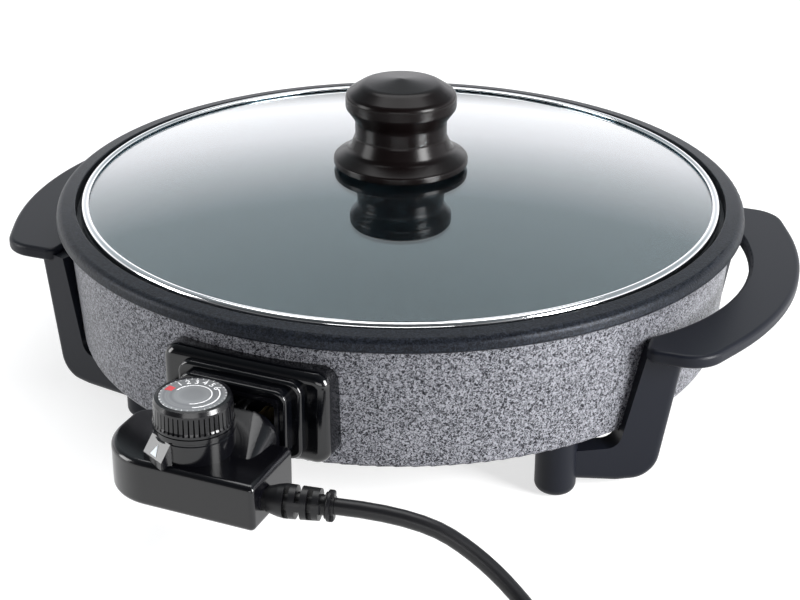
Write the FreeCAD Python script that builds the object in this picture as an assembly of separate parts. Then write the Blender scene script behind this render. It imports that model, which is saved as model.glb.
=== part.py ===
"""Round electric skillet with a lift-off glass lid and a plug-in heat control.

Units are millimetres. The origin is on the pan's axis, on the table that the
feet stand on. +Z is up, the heat control plugs in at the front (-Y), and the
two handles are at the left and right (-X and +X).
"""
import FreeCAD, Part
import math
import os

from FreeCAD import Vector

# Pan
lid_radius = 180.0            # outside of the lid's steel ring
pan_height = 108.0            # table to the top of the rim
pan_depth = 36.0              # top of the rim to the floor inside
skirt_bottom = 31.0           # table to the lower edge of the wall
rim_width = 10.4
rim_band = 8.0                # height of the dark band
floor_thickness = 4.0
skirt_thickness = 3.0
inner_wall = 3.2
lid_play = 3.6                # lid's ring to the inside of the rim
ledge_drop = 7.0              # top of the rim to the ledge under the lid

# Heating element and its socket
element_tube = 8.0
pin_offset = 15.0             # each terminal pin stands this far from the middle
pin_diameter = 5.6
probe_diameter = 8.0
plate_half_width = 45.0
mouth_half_width = 25.5       # free width of the mouth, halved
mouth_height = 31.0
mouth_depth = 18.0
mouth_wall = 3.2

# Handles and feet
grip_drop = 25.0              # top of the rim to the top of the grips
grip_thickness = 7.2
grip_outer_radius = 191.0
grip_inner_radius = 131.0
grip_half_length = 102.0
finger_gap = 11.3             # wall to the inside of the grip
grip_width = 27.0
foot_diameter = 21.5
foot_rounding = 5.0
grip_turn = 2.6               # degrees, the grips' line against the socket's
front_foot_angle = -38.7      # degrees, seen from the pan's middle
back_foot_angle = 50.0
front_foot_inset = 12.9       # the foot's middle lies this far inside the wall
back_foot_inset = 25.0
front_leg_angle = -23.3       # middle of the leg's top
back_leg_angle = 31.6
leg_gap = 6.4                 # wall to the middle of the leg's top
leg_width = 21.0
leg_lean = 12.5               # the leg's foot stands this much further in
leg_thickness = 12.0
arm_low = 3.8
arm_high = 24.5
post_top = 38.0
handle_screw = 3.8

# Lid
ring_height = 7.8
ring_width = 4.5
ring_sheet = 1.0
glass_thickness = 4.0
dome_height = 15.0            # glass middle above its edge
knob_base_radius = 37.9
knob_neck_radius = 25.8
knob_cap_radius = 31.1
knob_height = 49.6
seal_thickness = 1.0

# Plug-in control
body_length = 47.0            # socket's mouth to the control's front
body_left = 52.0              # middle of the socket to the control's left end
body_right = 35.0
body_height = 24.2
shell_wall = 2.0
dial_shift = 7.6              # the dial's axis is this far to the left
dial_reach = 23.4             # and this far in front of the socket's mouth
dial_radius = 19.0
dial_height = 13.5
collar_radius = 19.4
knurl_count = 48
nose_clearance = 0.4

# Cord
cord_diameter = 8.0
relief_length = 32.6
relief_turn = 12.0            # degrees, the boot leans towards the pan
relief_big = 16.5
relief_small = 15.0
coil_gap = 0.6                # between neighbouring turns
coil_outer_turn = 49.0        # radius of the first half turn
coil_half_turns = 4           # half turns of each spiral before the reverse
coil_exit_turn = 56.0

# Mains plug
plug_diameter = 38.0
plug_height = 21.0
plug_pin_diameter = 4.8
plug_pin_length = 19.0
plug_pin_spacing = 19.0

# Clearances
seat_gap = 0.15               # round fits within one body
moving_gap = 0.3              # round fits between bodies

# Worked out from the driving sizes
lip_radius = lid_radius + lid_play
rim_radius = lip_radius + rim_width
wall_top_radius = rim_radius - 6.3
wall_bottom_radius = wall_top_radius - 4.7
ledge_inner_radius = lip_radius - 10.1
floor_corner_radius = ledge_inner_radius - 7.5
ledge_height = pan_height - ledge_drop
floor_top = pan_height - pan_depth
floor_under = floor_top - floor_thickness
wall_top = pan_height - rim_band - 0.8
wall_slope = (wall_top_radius - wall_bottom_radius) / (wall_top - skirt_bottom)

element_radius = lid_radius * 2 / 3
element_height = floor_under - 5
element_end_y = 15 - wall_bottom_radius
probe_height = element_height
probe_tip_y = -element_radius - 12
plate_low = element_height - 24
plate_high = element_height + 26
plate_front_y = -wall_top_radius - 7.3
step_front_y = plate_front_y - 4.5
mouth_front_y = plate_front_y - 11
mouth_low = element_height - 15
mouth_high = mouth_low + mouth_height
mouth_floor_y = mouth_front_y + mouth_depth
spigot_back_y = 7 - wall_bottom_radius

grip_top = pan_height - grip_drop
grip_inner_centre = wall_top_radius + finger_gap - grip_inner_radius
grip_outer_centre = wall_top_radius + finger_gap + grip_width - grip_outer_radius

ring_low = ledge_height + 0.2
ring_high = ring_low + ring_height

body_front_y = mouth_front_y - body_length
body_back_y = mouth_front_y - 5
lobe_back_y = mouth_front_y + 1.5
body_low = element_height - 29
body_high = body_low + body_height
seam_height = body_low + 12.4
dial_x = -dial_shift
dial_y = mouth_front_y - dial_reach
dial_bottom = element_height + 9.5
dial_top = dial_bottom + dial_height
collar_top = dial_bottom - 0.7
neck_top = mouth_high - 9
relief_y = mouth_front_y - 33.6
relief_z = body_low + 11.5

UP = Vector(0, 0, 1)


def outline(corners, place):
    """Closed outline. A corner is (u, v), (u, v, rounding) or, where an arc
    leads to the next corner, (u, v, 0, (middle_u, middle_v))."""
    count = len(corners)
    starts, ends, roundings = [], [], []
    for i, corner in enumerate(corners):
        radius = corner[2] if len(corner) > 2 else 0
        here = Vector(corner[0], corner[1], 0)
        if not radius:
            starts.append(here)
            ends.append(here)
            roundings.append(None)
            continue
        back = Vector(*corners[i - 1][:2], 0) - here
        ahead = Vector(*corners[(i + 1) % count][:2], 0) - here
        back.normalize()
        ahead.normalize()
        half = back.getAngle(ahead) / 2
        reach = radius / math.tan(half)
        middle = back + ahead
        middle.normalize()
        centre = here + middle * (radius / math.sin(half))
        starts.append(here + back * reach)
        ends.append(here + ahead * reach)
        roundings.append(centre - middle * radius)
    edges = []
    for i, corner in enumerate(corners):
        following = (i + 1) % count
        if roundings[i]:
            edges.append(Part.Arc(place(starts[i]), place(roundings[i]), place(ends[i])).toShape())
        if (ends[i] - starts[following]).Length < 1e-6:
            continue
        if len(corner) > 3:
            via = Vector(*corner[3], 0)
            edges.append(Part.Arc(place(ends[i]), place(via), place(starts[following])).toShape())
        else:
            edges.append(Part.LineSegment(place(ends[i]), place(starts[following])).toShape())
    return Part.Wire(edges)


def flat_at(z):
    return lambda p: Vector(p.x, p.y, z)


def upright_at(y):
    return lambda p: Vector(p.x, y, p.y)


def slab(corners, low, high):
    """Outline in plan, from one height to another."""
    return Part.Face(outline(corners, flat_at(low))).extrude(UP * (high - low))


def block(corners, front, back):
    """Outline in the front view, from one Y to another."""
    return Part.Face(outline(corners, upright_at(front))).extrude(Vector(0, back - front, 0))


def turned(corners):
    """Outline of radius and height, turned about the Z axis."""
    return Part.Face(outline(corners, upright_at(0))).revolve(Vector(), UP, 360)


def rod(diameter, start, end):
    axis = end - start
    return Part.makeCylinder(diameter / 2, axis.Length, start, axis)


def box(low, high):
    return Part.makeBox(high[0] - low[0], high[1] - low[1], high[2] - low[2], Vector(*low))


def rounded_rectangle(left, right, low, high, rounding):
    return [(left, low, rounding), (right, low, rounding), (right, high, rounding),
            (left, high, rounding)]


def edges_at(shape, test):
    """Edges whose every point passes the test."""
    found = []
    for edge in shape.Edges:
        points = edge.discretize(5)
        if all(test(p) for p in points):
            found.append(edge)
    return found


def aimed(shape, start, direction):
    """A shape built up from the origin along +Z, laid along a direction."""
    shape = shape.copy()
    shape.Placement = FreeCAD.Placement(start, FreeCAD.Rotation(UP, direction))
    return shape


def half_turned(shape):
    shape = shape.copy()
    shape.rotate(Vector(), UP, 180)
    return shape


def export(name, shapes):
    shapes = shapes if isinstance(shapes, list) else [shapes]
    solids = [solid for shape in shapes for solid in shape.Solids]
    for solid in solids:
        if not solid.isValid() or solid.Volume <= 0:
            print("not a good solid:", name, solid.isValid(), solid.Volume)
    whole = solids[0] if len(solids) == 1 else Part.makeCompound(solids)
    whole.exportStep("parts/%s.step" % name)
    print(name, len(solids), "solids", round(sum(s.Volume for s in solids) / 1000, 2), "cm3")


def wall_radius(height):
    return wall_bottom_radius + wall_slope * (height - skirt_bottom)


def wall_envelope(clearance, hollow=False):
    """Space that the pan's wall encloses, or fills, with a clearance all round."""
    low = skirt_bottom - clearance
    high = pan_height - rim_band
    outer_low = wall_radius(low) + clearance
    outer_high = wall_radius(high) + clearance
    inner = 0
    if hollow:
        inner = wall_bottom_radius - skirt_thickness - clearance
    return turned([(inner, low), (outer_low, low), (outer_high, high), (inner, high)])


def foot_places():
    """Middles of the four posts: right front, right back, left back, left front."""
    places = [polar(wall_bottom_radius - front_foot_inset, front_foot_angle),
              polar(wall_bottom_radius - back_foot_inset, back_foot_angle)]
    return places + [place * -1 for place in places]


def polar(radius, degrees):
    turn = math.radians(degrees)
    return Vector(radius * math.cos(turn), radius * math.sin(turn), 0)


def pan():
    inner_back = ledge_inner_radius + inner_wall
    skirt_inside = wall_top_radius - skirt_thickness - 0.2
    body = turned([
        (0, floor_top),
        (floor_corner_radius, floor_top, 9),
        (ledge_inner_radius, ledge_height, 1.5),
        (lip_radius - 1.0, ledge_height, 0.5),
        (lip_radius - 0.6, pan_height, 0.4),
        (rim_radius - 1.2, pan_height - 1.4, 4.2),
        (rim_radius, pan_height - rim_band, 1.2),
        (wall_top_radius, wall_top, 0.6),
        (wall_bottom_radius, skirt_bottom, 2.4),
        (wall_bottom_radius - skirt_thickness, skirt_bottom, 0.5),
        (skirt_inside, ledge_height - 5.0, 1.5),
        (inner_back, ledge_height - 5.0, 1.5),
        (floor_corner_radius + inner_wall, floor_under, 8),
        (0, floor_under),
    ])
    additions = [element_channel(), probe_boss()]
    for place in foot_places():
        additions.append(rod(16, place + UP * post_top, place + UP * (floor_under + 1.5)))
    body = body.multiFuse(additions)
    cuts = [heating_element(element_tube + 2 * seat_gap), probe_bore(), socket_window()]
    for place in foot_places():
        cuts.append(rod(handle_screw + 2 * seat_gap, place + UP * post_top, place + UP * (post_top + 18)))
    for x in (-socket_screw_x, socket_screw_x):
        cuts.append(rod(4.4, Vector(x, -170, socket_screw_z), Vector(x, -190, socket_screw_z)))
    return body.cut(Part.makeCompound(cuts))


def element_channel():
    """Raised ring under the floor, cast round the upper half of the tube."""
    half = element_tube / 2 + 3.5
    ring = turned([
        (element_radius - half, floor_under + 1), (element_radius - half + 1.5, element_height),
        (element_radius + half - 1.5, element_height), (element_radius + half, floor_under + 1)])
    mouth = box((-pin_offset - 16, -element_radius - half, element_height - 1),
                (pin_offset + 16, -element_radius + half, floor_under))
    return ring.cut(mouth)


def probe_boss():
    half = probe_diameter / 2 + 4
    return block([(-half - 3, floor_under + 1), (-half, probe_height - half, 5),
                  (half, probe_height - half, 5), (half + 3, floor_under + 1)],
                 probe_tip_y - 32, probe_tip_y + 8)


def probe_bore():
    return rod(probe_diameter + 2 * moving_gap, Vector(0, probe_tip_y - 40, probe_height),
               Vector(0, probe_tip_y + 0.5, probe_height))


def socket_window():
    gap = 0.4
    return block(rounded_rectangle(-mouth_half_width - 1.5 - gap, mouth_half_width + 1.5 + gap,
                                   mouth_low - gap, mouth_high + gap, 3), -190, -170)


socket_screw_x = 36.0
socket_screw_z = 64.0
element_bend = 18.0


def heating_element(diameter):
    """One tube: a near full ring with both ends turned out to the socket."""
    centre_x = pin_offset + element_bend
    centre_y = -math.sqrt((element_radius + element_bend) ** 2 - centre_x ** 2)
    share = element_radius / (element_radius + element_bend)
    leave = (centre_x * share, centre_y * share)
    half = math.hypot(centre_x - pin_offset, 0) / math.sqrt(2)
    toward = Vector(leave[0] - centre_x, leave[1] - centre_y, 0)
    toward.normalize()
    middle = toward + Vector(-1, 0, 0)
    middle.normalize()
    z = element_height

    def bend(side):
        first = Vector(side * pin_offset, centre_y, z)
        via = Vector(side * (centre_x + middle.x * element_bend), centre_y + middle.y * element_bend, z)
        last = Vector(side * leave[0], leave[1], z)
        return first, via, last

    right = bend(1)
    left = bend(-1)
    top = Vector(0, element_radius, z)
    side = Vector(element_radius, 0, z)
    edges = [
        Part.LineSegment(Vector(pin_offset, element_end_y, z), right[0]).toShape(),
        Part.Arc(*right).toShape(),
        Part.Arc(right[2], side, top).toShape(),
        Part.Arc(top, Vector(-element_radius, 0, z), left[2]).toShape(),
        Part.Arc(left[2], left[1], left[0]).toShape(),
        Part.LineSegment(left[0], Vector(-pin_offset, element_end_y, z)).toShape(),
    ]
    profile = Part.Wire([Part.makeCircle(diameter / 2, Vector(pin_offset, element_end_y, z),
                                         Vector(0, 1, 0))])
    return Part.Wire(edges).makePipeShell([profile], True, False)


def end_seals():
    seals = []
    for x in (-pin_offset, pin_offset):
        seals.append(rod(element_tube + 2, Vector(x, element_end_y, element_height),
                         Vector(x, element_end_y - 4, element_height)))
    return seals


def terminal_pins():
    """Pin with a collar behind the socket and a rounded free end."""
    pins = []
    for x in (-pin_offset, pin_offset):
        length = element_end_y - 4 - (mouth_front_y + 5)
        r = pin_diameter / 2
        pin = turned([(0, 0), (r + 1.4, 0), (r + 1.4, 3), (r, 3), (r, length, 1.8), (0, length)])
        pins.append(aimed(pin, Vector(x, element_end_y - 4, element_height), Vector(0, -1, 0)))
    return pins


def socket_housing():
    half = mouth_half_width
    plate = block(rounded_rectangle(-plate_half_width, plate_half_width, plate_low, plate_high, 8),
                  -165, plate_front_y)
    plate = plate.makeFillet(5.5, edges_at(plate, lambda p: abs(p.y - plate_front_y) < 1e-4))
    step = block(rounded_rectangle(-half - 8, half + 8, mouth_low - 5.5, mouth_high + 6, 7),
                 plate_front_y + 1, step_front_y)
    step = step.makeFillet(2.0, edges_at(step, lambda p: abs(p.y - step_front_y) < 1e-4))
    mouth = block(rounded_rectangle(-half - mouth_wall, half + mouth_wall, mouth_low - mouth_wall,
                                    mouth_high + mouth_wall, 6), plate_front_y + 1, mouth_front_y)
    mouth = mouth.makeFillet(1.4, edges_at(mouth, lambda p: abs(p.y - mouth_front_y) < 1e-4))
    spigot = block(rounded_rectangle(-half - 1.5, half + 1.5, mouth_low, mouth_high, 3),
                   plate_front_y + 1, spigot_back_y)
    housing = plate.cut(wall_envelope(0.2)).multiFuse([step, mouth, spigot])
    cavity = block(rounded_rectangle(-half, half, mouth_low, mouth_high, 3.5),
                   mouth_front_y - 1, mouth_floor_y)
    cuts = [cavity, rod(probe_diameter + 3, Vector(0, -170, probe_height), Vector(0, -200, probe_height))]
    for x in (-pin_offset, pin_offset):
        cuts.append(rod(pin_diameter + 2 * seat_gap, Vector(x, -170, element_height),
                        Vector(x, -200, element_height)))
    for x in (-socket_screw_x, socket_screw_x):
        cuts.append(rod(3.5, Vector(x, -170, socket_screw_z), Vector(x, -190, socket_screw_z)))
    return housing.cut(Part.makeCompound(cuts))


def pan_head_screw(diameter, length, head, head_height):
    """Screw with its head's seat at the origin and its shank along +Z."""
    r = diameter / 2
    body = turned([(0, -head_height), (head / 2 - 0.7, -head_height), (head / 2, -head_height * 0.5),
                   (head / 2, 0), (r, 0), (r, length - 0.8), (r - 0.6, length), (0, length)])
    slot = box((-head, -0.45, -head_height - 1), (head, 0.45, -head_height + 0.9))
    return body.cut(slot)


def socket_screws():
    screws = []
    for x in (-socket_screw_x, socket_screw_x):
        inside = wall_radius(socket_screw_z) - skirt_thickness - 0.2
        seat = -math.sqrt(inside ** 2 - (abs(x) + 4) ** 2)
        screws.append(aimed(pan_head_screw(3.2, 12, 8, 2.6), Vector(x, seat + 0.2, socket_screw_z),
                            Vector(0, -1, 0)))
    return screws


def grip():
    half_angle = math.radians(23.5)
    outer = (grip_outer_centre + grip_outer_radius * math.cos(half_angle),
             grip_outer_radius * math.sin(half_angle))
    run = grip_half_length - outer[1]
    corner_x = outer[0] - run * math.tan(half_angle)
    end_x = grip_inner_centre + grip_inner_radius * 0.765
    inner_y = grip_inner_radius * 0.657
    inner_x = grip_inner_centre + math.sqrt(grip_inner_radius ** 2 - inner_y ** 2)
    corners = [
        (outer[0], -outer[1], 0, (grip_outer_centre + grip_outer_radius, 0)),
        (outer[0], outer[1]),
        (corner_x, grip_half_length, 20),
        (end_x, grip_half_length, 6),
        (inner_x, inner_y, 0, (grip_inner_centre + grip_inner_radius, 0)),
        (inner_x, -inner_y),
        (end_x, -grip_half_length, 6),
        (corner_x, -grip_half_length, 20),
    ]
    low = grip_top - grip_thickness
    plate = slab(corners, low, grip_top)
    plate = plate.makeFillet(2.4, edges_at(plate, lambda p: abs(p.z - grip_top) < 1e-4))
    plate = plate.makeFillet(2.0, edges_at(plate, lambda p: abs(p.z - low) < 1e-4))
    plate.rotate(Vector(), UP, grip_turn)
    return plate


def leg(place, leg_top):
    """Leg, arm and post. The leg is drawn with the post's axis at u = 0, then turned."""
    half = leg_width / 2
    direction = leg_top - place
    leg_reach = direction.Length
    top = grip_top - grip_thickness / 2
    foot = leg_reach - leg_lean
    shape = block([
        (0, arm_low + 4.5), (foot - half, arm_low, 12), (foot + half, arm_low, 15),
        (leg_reach + half, top), (leg_reach - half, top),
        (foot - half, arm_high, 8), (0, arm_high)], -leg_thickness / 2, leg_thickness / 2)

    def outer_side(p):
        lean = leg_lean * (top - p.z) / (top - arm_low)
        return p.x > leg_reach + half - lean - 0.6 and p.z > arm_low + 12 and abs(p.y) > 1

    shape = shape.makeFillet(4.5, edges_at(shape, outer_side))
    shape.rotate(Vector(), UP, math.degrees(math.atan2(direction.y, direction.x)))
    r = foot_diameter / 2
    post = turned([(0, 0), (r, 0, foot_rounding), (r, post_top - 1), (r - 1, post_top), (0, post_top)])
    shape = shape.fuse(post)
    shape.translate(place)
    return shape


screw_seat = 14.0


def handle():
    """The right handle: grip, two legs and two foot posts in one moulding."""
    places = foot_places()
    leg_radius = wall_top_radius + leg_gap
    legs = [leg(places[0], polar(leg_radius, front_leg_angle)),
            leg(places[1], polar(leg_radius, back_leg_angle))]
    body = grip().multiFuse(legs)
    cuts = [wall_envelope(0.25, True)]
    for place in places[:2]:
        cuts.append(rod(6.4, place - UP, place + UP * screw_seat))
        cuts.append(rod(handle_screw + 2 * seat_gap, place, place + UP * (post_top + 1)))
    return body.cut(Part.makeCompound(cuts))


def handle_screws():
    screws = []
    for place in foot_places():
        screw = pan_head_screw(handle_screw, post_top + 16 - screw_seat, 6.0, 2.4)
        screw.translate(place + UP * screw_seat)
        screws.append(screw)
    return screws


glass_edge = lid_radius - ring_sheet - 0.5
glass_edge_top = ring_low + ring_sheet + 0.4 + glass_thickness
knob_seat = glass_edge_top + dome_height + seal_thickness
screw_hole = 6.4


def lid_glass():
    """Shallow dome with a screw hole in the middle."""
    sphere = (glass_edge ** 2 + dome_height ** 2) / (2 * dome_height)

    def dome(radius):
        return math.sqrt(sphere ** 2 - radius ** 2) - sphere + dome_height + glass_edge_top

    hole = screw_hole / 2
    middle = glass_edge / 2
    t = glass_thickness
    return turned([
        (hole, dome(hole), 0, (middle, dome(middle))), (glass_edge, dome(glass_edge)),
        (glass_edge, dome(glass_edge) - t, 0, (middle, dome(middle) - t)), (hole, dome(hole) - t)])


def lid_rim():
    """Rolled ring of thin sheet that holds the edge of the glass."""
    inside = lid_radius - ring_width
    t = ring_sheet
    outer = turned([(inside, ring_low), (lid_radius - 1.2, ring_low), (lid_radius, ring_low + 1.2),
                    (lid_radius, ring_high - 1.8), (lid_radius - 1.8, ring_high), (inside, ring_high)])
    room = turned([(inside - 1, ring_low + t), (lid_radius - t - 0.8, ring_low + t),
                   (lid_radius - t, ring_low + t + 0.8), (lid_radius - t, ring_high - t - 1.5),
                   (lid_radius - t - 1.5, ring_high - t), (inside - 1, ring_high - t)])
    return outer.cut(room)


def lid_knob():
    """Mushroom knob, hollow underneath round its screw boss."""
    z = knob_seat
    cap = knob_cap_radius
    neck = knob_neck_radius
    base = knob_base_radius
    top = z + knob_height
    solid = turned([
        (0, z), (base - 1.2, z), (base, z + 1.2), (base, z + 4.2, 1.6),
        (neck + 3.5, z + 9, 6), (neck, z + 17, 5), (neck, z + 26, 5), (cap, z + 33.5, 3),
        (cap, top - 8.5, 4), (cap - 9, top - 2.6, 9), (0, top)])
    hollow = turned([(11, z - 1), (neck + 1, z - 1), (neck - 4, z + 12), (neck - 5, z + 31), (11, z + 31)])
    insert = rod(9, Vector(0, 0, z - 1), Vector(0, 0, z + 18))
    return solid.cut(hollow).cut(insert)


def knob_insert():
    z = knob_seat
    outside = turned([(0, z), (4.5 - seat_gap, z), (4.5 - seat_gap, z + 18), (0, z + 18)])
    groove = turned([(3.7, z + 7), (6, z + 7), (6, z + 10), (3.7, z + 10)])
    return outside.cut(groove).cut(rod(5.2, Vector(0, 0, z - 1), Vector(0, 0, z + 15)))


def glass_ring(radius, low, high):
    return rod(2 * radius, Vector(0, 0, low), Vector(0, 0, high)).cut(
        rod(screw_hole, Vector(0, 0, low - 1), Vector(0, 0, high + 1)))


def knob_seal():
    return glass_ring(15, knob_seat - seal_thickness, knob_seat)


def lid_washer():
    low = knob_seat - seal_thickness - glass_thickness - 1.5
    return glass_ring(11, low, low + 1.4)


def lid_screw():
    seat = knob_seat - seal_thickness - glass_thickness - 1.5
    screw = pan_head_screw(5.0, knob_seat + 12 - seat, 10.5, 3.2)
    screw.translate(UP * seat)
    return screw


lobe_end = -mouth_half_width - 3


def body_outline(inset):
    """Plan of the control's body: square right end, big rounded left lobe."""
    left = inset - body_left
    right = body_right - inset
    front = body_front_y + inset
    return [
        (right, front, 2.5), (left, front, 28 - inset), (left, lobe_back_y - inset, 9 - inset),
        (lobe_end - inset, lobe_back_y - inset, 3), (lobe_end - inset, body_back_y - inset, 1.5),
        (right, body_back_y - inset, 3)]


def neck(inset):
    """Ramp from the body's top up to the nose."""
    def section(y, half, top, rounding):
        corners = [(-half + inset, seam_height), (half - inset, seam_height),
                   (half - inset, top - inset, rounding), (-half + inset, top - inset, rounding)]
        return outline(corners, upright_at(y))

    first = section(mouth_front_y - 25.0 + inset, 24.0, body_high - 0.2, 4.0)
    last = section(mouth_front_y - 1.0, mouth_half_width - nose_clearance, neck_top, 13.0)
    return Part.makeLoft([first, last], True, True)


def nose(inset, front, back):
    half = mouth_half_width - nose_clearance - inset
    return block(rounded_rectangle(-half, half, mouth_low + nose_clearance + inset,
                                   mouth_high - nose_clearance - inset, 3.2), front, back)


nose_back_y = mouth_floor_y - 1.5


def collar(inset):
    r = collar_radius - inset
    top = collar_top - inset
    low = body_high - 4
    ring = turned([(0, low), (r, low), (r, top - 3.6), (r - 0.5, top - 3.2), (r - 0.5, top - 2.4),
                   (r, top - 2.0), (r, top), (0, top)])
    ring.translate(Vector(dial_x, dial_y, 0))
    return ring


def pointer_pad():
    """Sloped pad at the collar's foot that carries the pointer."""
    foot = collar_radius + 4.6
    pad = block([(0, body_high - 1), (foot, body_high - 1), (foot, body_high + 2.6, 1.0),
                 (collar_radius - 1.2, pointer_high, 1.0), (0, pointer_high)], -7.5, 7.5)
    pad.rotate(Vector(), UP, pointer_angle)
    pad.translate(Vector(dial_x, dial_y, 0))
    return pad


pointer_angle = -117.0
pointer_high = collar_top - 2.6
cavity_low = body_low + 2.0


def pointer_shape(low, high, grow):
    """Small triangle let into the pad's slope. It points up at the dial."""
    rise = pointer_high - body_high - 2.6
    run = -5.8
    slope = math.hypot(rise, run)
    uphill = Vector(run / slope, 0, rise / slope)
    outward = Vector(rise / slope, 0, -run / slope)
    mark = slab([(1.2 - grow, -2.3 - grow), (6.6 + grow, 0), (1.2 - grow, 2.3 + grow)], low, high)
    across = outward.cross(uphill)
    corner = Vector(collar_radius + 4.6, 0, body_high + 2.6)
    mark.Placement = FreeCAD.Placement(corner, FreeCAD.Rotation(uphill, across, outward, "ZXY"))
    mark.rotate(Vector(), UP, pointer_angle)
    mark.translate(Vector(dial_x, dial_y, 0))
    return mark


def shell_screw_places():
    back = body_back_y - 6
    return [Vector(body_right - 16, body_front_y + 7.5, 0), Vector(12 - body_left, back, 0),
            Vector(body_right - 7, back, 0)]


def upper_shell():
    low = seam_height
    body = slab(body_outline(0), low, body_high)
    body = body.makeFillet(3.0, edges_at(body, lambda p: abs(p.z - body_high) < 1e-4))
    outside = body.multiFuse([neck(0), nose(0, mouth_front_y - 1.0, nose_back_y), collar(0), pointer_pad()])
    wall = shell_wall
    room = slab(body_outline(wall), low - 1, body_high - wall)
    hollow = room.multiFuse([neck(wall), nose(wall, mouth_front_y - 1.0, nose_back_y - 6), collar(wall)])
    shell = outside.cut(hollow)
    bosses = []
    for place in shell_screw_places():
        bosses.append(rod(6.5, place + UP * low, place + UP * (body_high - wall + 0.5)))
    shell = shell.multiFuse(bosses)
    cuts = [rod(6 + 2 * moving_gap, Vector(dial_x, dial_y, 50), Vector(dial_x, dial_y, 90)),
            rod(probe_diameter + 2 * seat_gap, Vector(0, nose_back_y - 8, probe_height),
                Vector(0, nose_back_y + 1, probe_height)),
            pointer_shape(-1.4, 3, 0.1),
            outlet_notch()]
    for x in (-pin_offset, pin_offset):
        cuts.append(rod(sleeve_diameter + 2 * seat_gap, Vector(x, nose_back_y - 8, element_height),
                        Vector(x, nose_back_y + 1, element_height)))
    for place in shell_screw_places():
        cuts.append(rod(2.8, place + UP * (low - 1), place + UP * (low + 7)))
    return shell.cut(Part.makeCompound(cuts))


def outlet_notch():
    """Hole in the right end that grips the boot's neck."""
    at = Vector(body_right - 6, relief_y, relief_z)
    return rod(neck_diameter + 2 * seat_gap, at, at + Vector(20, 0, 0))


def lower_shell():
    body = slab(body_outline(0), body_low, seam_height)
    body = body.makeFillet(3.0, edges_at(body, lambda p: abs(p.z - body_low) < 1e-4))
    room = slab(body_outline(shell_wall), cavity_low, seam_height + 1)
    shell = body.cut(room)
    bosses = []
    for place in shell_screw_places():
        bosses.append(rod(7.5, place + UP * (cavity_low - 0.5), place + UP * seam_height))
    shell = shell.multiFuse(bosses)
    cuts = [outlet_notch()]
    for place in shell_screw_places():
        cuts.append(rod(5.6, place + UP * (body_low - 1), place + UP * (body_low + 3)))
        cuts.append(rod(3.3, place, place + UP * 60))
    return shell.cut(Part.makeCompound(cuts))


def shell_screws():
    screws = []
    for place in shell_screw_places():
        screw = pan_head_screw(2.6, seam_height + 6 - body_low - 3, 5.2, 1.8)
        screw.translate(place + UP * (body_low + 3))
        screws.append(screw)
    return screws


sleeve_diameter = 9.0
sleeve_front_y = mouth_front_y + 1.5


def contact_sleeves():
    """Split spring sleeves that take the terminal pins."""
    sleeves = []
    for x in (-pin_offset, pin_offset):
        start = Vector(x, sleeve_front_y, element_height)
        end = Vector(x, nose_back_y + 0.5, element_height)
        sleeve = rod(sleeve_diameter, start, end)
        bore = rod(pin_diameter + 2 * moving_gap, start + Vector(0, 2.5, 0), end + Vector(0, 1, 0))
        slit = box((x - 0.5, sleeve_front_y + 4, element_height),
                   (x + 0.5, nose_back_y + 2, element_height + 6))
        sleeves.append(sleeve.cut(bore).cut(slit))
    return sleeves


def probe():
    """Closed metal tube that feels the pan's heat."""
    length = probe_tip_y - sleeve_front_y
    r = probe_diameter / 2
    tube = turned([(0, 0), (r + 1.2, 0), (r + 1.2, 4), (r, 4), (r, length, 2.4), (0, length)])
    return aimed(tube, Vector(0, sleeve_front_y, probe_height), Vector(0, 1, 0))


def earth_springs():
    """Two leaves beside the probe, bent out where they touch the socket."""
    leaves = []
    for side in (-1, 1):
        x = side * (probe_diameter / 2 + 0.25)
        leaf = slab([(x, nose_back_y), (x + side * 0.4, nose_back_y), (x + side * 0.4, nose_back_y + 6),
                     (x + side * 0.9, nose_back_y + 8), (x, nose_back_y + 10.5)],
                    probe_height - 1.1, probe_height + 1.1)
        leaves.append(leaf)
    return leaves


switch_base = 5.0


def switch_block():
    """Moulded base of the bimetal switch, with its stacked contact arms."""
    low = cavity_low
    floor = low + switch_base
    base = slab(rounded_rectangle(dial_x - 14, dial_x + 14, dial_y - 12, dial_y + 12, 2), low, floor)
    post = rod(12, Vector(dial_x, dial_y, floor), Vector(dial_x, dial_y, floor + 4))
    body = base.fuse(post)
    for i in range(3):
        z = floor + i * 2.4
        body = body.fuse(box((dial_x + 7, dial_y - 4, z), (dial_x + 12, dial_y + 4, z + 2.4)))
        contact = box((dial_x - 12 + i, dial_y - 3, z + 1.4), (dial_x + 12, dial_y - 1.5 + i, z + 1.9))
        body = body.fuse(contact)
    return body.cut(rod(5, Vector(dial_x, dial_y, low + 6), Vector(dial_x, dial_y, low + 20)))


def dial_shaft():
    low = cavity_low + 12.5
    shaft = rod(6, Vector(dial_x, dial_y, low), Vector(dial_x, dial_y, dial_bottom + 8))
    flat = box((dial_x + 2, dial_y - 5, dial_bottom), (dial_x + 6, dial_y + 5, dial_bottom + 20))
    flange = rod(10, Vector(dial_x, dial_y, low), Vector(dial_x, dial_y, low + 1.5))
    return shaft.fuse(flange).cut(flat)


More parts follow.
